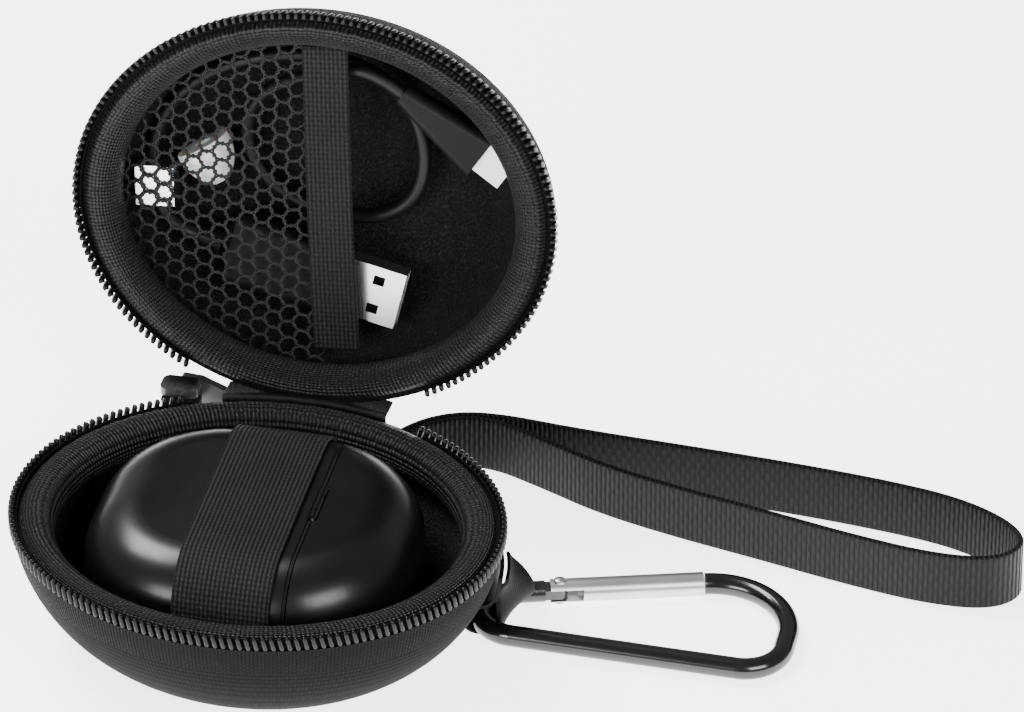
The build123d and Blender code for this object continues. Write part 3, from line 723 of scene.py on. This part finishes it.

# %% Strap anchor
# The fold that holds the strap's two ends is attached to neither body.
anchor_line = smooth_line([Vector((13 * MM, y * MM, z * MM)) for y, z in (
    (35.0, 9.4), (37.0, 9.4), (39.0, 9.2), (41.0, 8.6), (43.0, 7.8), (45.5, 7.2))], 4)
anchor = ribbon("strap_anchor_webbing", anchor_line, Vector((0, 0, 13.2 * MM)), 4.2 * MM)
finished(anchor, None, WEBBING, "strap_anchor")
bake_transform(anchor)

# %% [markdown]
# ## Webbing tab for the carabiner
# A narrow piece of webbing comes out from under the zip tape, passes round the carabiner's narrow
# end and goes back up. Its outer side twists on the way, so that its face shows from the front.

# %% Carabiner tab
TAB = [(48.4, 17.8), (49.8, 13.0), (50.4, 8.6), (49.4, 4.6), (47.4, 1.3), (44.0, 0.5), (41.0, 0.9),
       (40.2, 3.6), (40.9, 6.4), (43.4, 8.0), (46.0, 9.6), (47.0, 13.0), (47.2, 17.8)]
TAB_Y, TAB_TWIST = 10.7 * MM, radians(46)
tab_line = smooth_line([Vector((x * MM, TAB_Y, z * MM)) for x, z in TAB], 7)
tab = ribbon("carabiner_tab_webbing", tab_line, Vector((0, 9.4 * MM, 0)), 0.8 * MM)
for vertex in tab.data.vertices:
    share = min(1.0, max(0.0, (vertex.co.z / MM - 2) / 15))
    outer = min(1.0, max(0.0, vertex.co.x / MM - 47.5))
    turn = TAB_TWIST * sin(pi * share) * outer
    offset = vertex.co.y - TAB_Y
    vertex.co.x += offset * sin(turn)
    vertex.co.y += offset * (cos(turn) - 1) - 4 * share * MM
    curve = sqrt(49.5 ** 2 - (vertex.co.y / MM / OVAL) ** 2) - sqrt(49.5 ** 2 - (10.7 / OVAL) ** 2)
    vertex.co.x += share * curve * MM
finished(tab, "base", TAB_CLOTH, "carabiner_tab")

# %% [markdown]
# ## Rivet heads
# The gate turns on a rivet. Its two domed heads stand proud of the tube: half a flattened ball
# each.

# %% Rivet heads
FAR_END = Matrix.Translation((104.2 * MM, 0, 0))  # the carabiner tips about its far end
TIP_TURN = FAR_END @ Matrix.Rotation(radians(0.843), 4, "Y") @ FAR_END.inverted()
for label, side in (("upper", 1), ("lower", -1)):
    pick()
    bpy.ops.mesh.primitive_uv_sphere_add(segments=32, ring_count=16, radius=1.35 * MM)
    head = bpy.context.object
    head.name = f"rivet_head_{label}"
    bpy.ops.object.mode_set(mode="EDIT")
    bpy.ops.mesh.select_all(action="SELECT")
    bpy.ops.mesh.bisect(plane_co=(0, 0, 0), plane_no=(0, 0, 1), clear_inner=True, use_fill=True)
    bpy.ops.object.mode_set(mode="OBJECT")
    head.scale = (1, 1, 0.55 * side)
    head.location = (56.79 * MM, 20.49 * MM, (2.2 + side * 2.3) * MM)
    bpy.ops.object.transform_apply(location=True, rotation=True, scale=True)
    outward(head)
    place(head, TIP_TURN)
    finished(head, "carabiner", ALUMINIUM)

# %% [markdown]
# ## Floor, light and background
# The floor is pale and glows a little. One soft light stands above and behind on the left, and two
# weaker ones stand in front, one on each side.

# %% Stage
pick()
bpy.ops.mesh.primitive_plane_add(size=6, location=(0, 0, -0.0001))
floor = bpy.context.object
floor.name = "floor"
bpy.ops.object.transform_apply(location=True, rotation=True, scale=True)
floor_material = bpy.data.materials.new("pale floor")
floor_material.use_nodes = True
floor_shader = floor_material.node_tree.nodes["Principled BSDF"]
floor_shader.inputs["Base Color"].default_value = (0.93, 0.93, 0.93, 1)
floor_shader.inputs["Roughness"].default_value = 0.8
floor_shader.inputs["Emission Color"].default_value = (1, 1, 1, 1)
floor_shader.inputs["Emission Strength"].default_value = 3.4
floor.data.materials.append(floor_material)
world = bpy.data.worlds.new("studio")
world.use_nodes = True
world.node_tree.nodes["Background"].inputs["Color"].default_value = (1, 1, 1, 1)
world.node_tree.nodes["Background"].inputs["Strength"].default_value = 0.32
bpy.context.scene.world = world


def soft_light(name, location, size, power, look_at=(0.02, 0, 0.03)):
    data = bpy.data.lights.new(name, "AREA")
    data.shape, data.size, data.size_y, data.energy = "RECTANGLE", size[0], size[1], power
    lamp = bpy.data.objects.new(name, data)
    lamp.location = location
    lamp.rotation_euler = (Vector(location) - Vector(look_at)).to_track_quat("Z", "Y").to_euler()
    bpy.context.collection.objects.link(lamp)


soft_light("key", (-0.5, 0.25, 0.9), (0.5, 0.5), 20)
soft_light("fill", (0.7, -0.6, 0.6), (0.6, 0.4), 10)
soft_light("front", (-0.35, -0.8, 0.35), (0.5, 0.25), 7)
print("stage set")
